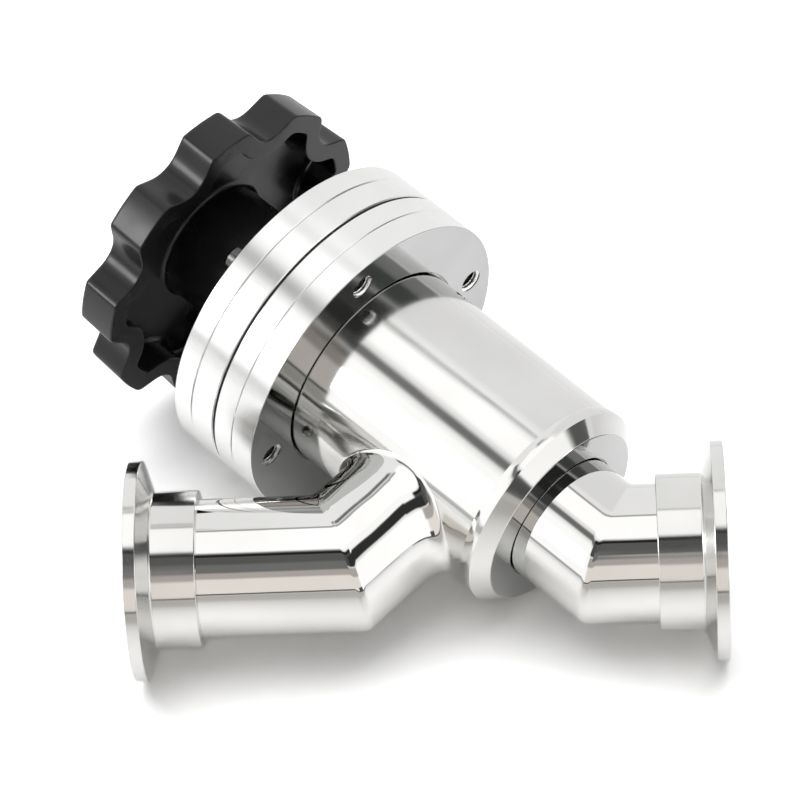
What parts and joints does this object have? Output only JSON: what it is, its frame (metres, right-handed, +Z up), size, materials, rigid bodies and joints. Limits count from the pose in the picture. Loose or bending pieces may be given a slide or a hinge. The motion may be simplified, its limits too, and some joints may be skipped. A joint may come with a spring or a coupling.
{
  "type": "inclined-body hand valve",
  "caption": "Mirror-polished stainless in-line valve: inclined body, clamp ports on one axis, stacked round bonnet, black lobed handwheel that lifts an inner plug.",
  "frame": {"origin": "centre of the outlet port's face, on the pipe axis", "axes": "+X along the pipe axis out of the outlet port, +Z up with the valve lying on its two ferrule rims and its flange edge, the handwheel at -X and +Y"},
  "size_m": [0.149, 0.1451, 0.0878],
  "materials": {
    "polished_stainless": "mirror-polished stainless steel",
    "machined_stainless": "fine turned stainless steel",
    "black_plastic": "satin moulded black plastic",
    "black_rubber": "moulded black rubber",
    "white_seal": "turned white fluoropolymer",
    "bronze": "turned bronze"
  },
  "bodies": {
    "valve": {"inlet_ferrule": "polished_stainless", "inlet_tube": "polished_stainless", "branch_tube": "polished_stainless", "branch_weld": "polished_stainless", "body_tube": "polished_stainless", "seat_ring": "polished_stainless", "outlet_leg": "polished_stainless", "outlet_ferrule": "polished_stainless", "outlet_tube": "polished_stainless", "body_flange": "polished_stainless", "stem_housing": "polished_stainless", "bonnet_disc": "polished_stainless", "cap_disc": "polished_stainless", "cap_screws": "polished_stainless", "bonnet_screws": "machined_stainless", "body_seal": "black_rubber", "stem_seals": "black_rubber", "bonnet_gasket": "black_rubber", "guide_bush": "bronze", "thread_bush": "bronze"},
    "plug": {"valve_plug": "machined_stainless", "plug_seal": "white_seal", "seal_plate": "machined_stainless", "plug_screw": "machined_stainless", "plug_retainer": "machined_stainless"},
    "wheel": {"spindle": "machined_stainless", "handwheel": "black_plastic", "wheel_insert": "bronze", "wheel_washer": "machined_stainless", "wheel_nut": "machined_stainless", "wheel_cap": "black_plastic"}
  },
  "joints": [
    {"name": "plug_lift", "type": "slide", "parent": "valve", "child": "plug", "axis": [-0.7071, 0.684, 0.1792], "range_m": [0, 0.012]},
    {"name": "wheel_turn", "type": "hinge", "parent": "plug", "child": "wheel", "pos_m": [-0.02685, 0, 0], "axis": [-0.7071, 0.684, 0.1792], "range_deg": [0, 1080]}
  ],
  "couplings": [
    {"joint": "wheel_turn", "follows": "plug_lift", "rad_per_m": 1570.8}
  ]
}
